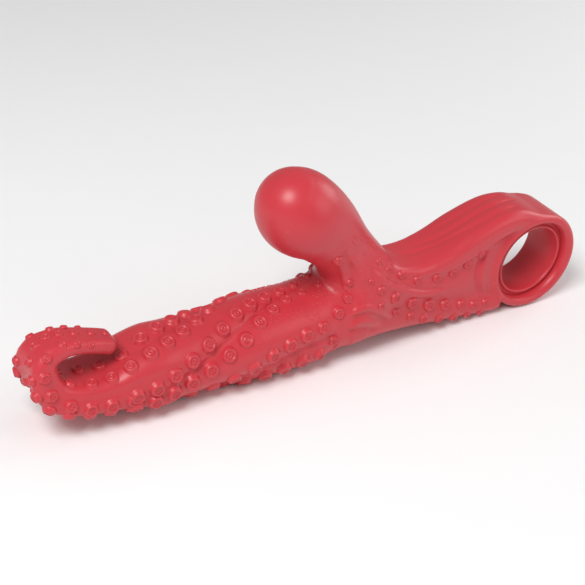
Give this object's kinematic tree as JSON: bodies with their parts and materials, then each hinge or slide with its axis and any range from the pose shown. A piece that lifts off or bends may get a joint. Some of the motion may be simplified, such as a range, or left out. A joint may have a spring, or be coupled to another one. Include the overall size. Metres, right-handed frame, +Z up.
{
  "type": "octopus chew toy",
  "caption": "Moulded rubber octopus-shaped chew toy: hollow bulb head, twisted arms ending in a curled loop, and further arms that hold a finger ring.",
  "frame": {"origin": "on the floor, under the middle of the toy's bounding box as it lies", "axes": "+X along the toy towards the finger ring, +Z up, -Y towards the side on which the twist and the loop's sucker face are seen"},
  "size_m": [0.1996, 0.0284, 0.0663],
  "materials": {
    "red_rubber": "satin moulded",
    "squeaker_plastic": "matte",
    "reed_brass": "plain sheet"
  },
  "bodies": {
    "body": {"trunk": "red_rubber", "shaft_arm_1": "red_rubber", "shaft_arm_2": "red_rubber", "shaft_arm_3": "red_rubber", "shaft_arm_4": "red_rubber", "end_loop": "red_rubber", "ring_arm_1": "red_rubber", "ring_arm_2": "red_rubber", "ring_arm_3": "red_rubber", "ring_arm_4": "red_rubber", "ring_loop": "red_rubber", "ring_liner": "red_rubber"},
    "head": {"head_shell": "red_rubber", "squeaker_barrel": "squeaker_plastic", "squeaker_plug": "squeaker_plastic", "squeaker_reed": "reed_brass"},
    "tip": {"curled_tip": "red_rubber"}
  },
  "joints": [
    {"name": "head_lean", "type": "hinge", "parent": "body", "child": "head", "pos_m": [0.0129, 0, 0.031], "axis": [0, 1, 0], "range_deg": [-5, 15], "stiffness_Nm_per_rad": 1},
    {"name": "tip_lift", "type": "hinge", "parent": "body", "child": "tip", "pos_m": [-0.0958, 0, 0.021], "axis": [0, -1, 0], "range_deg": [0, 18], "stiffness_Nm_per_rad": 0.06}
  ]
}
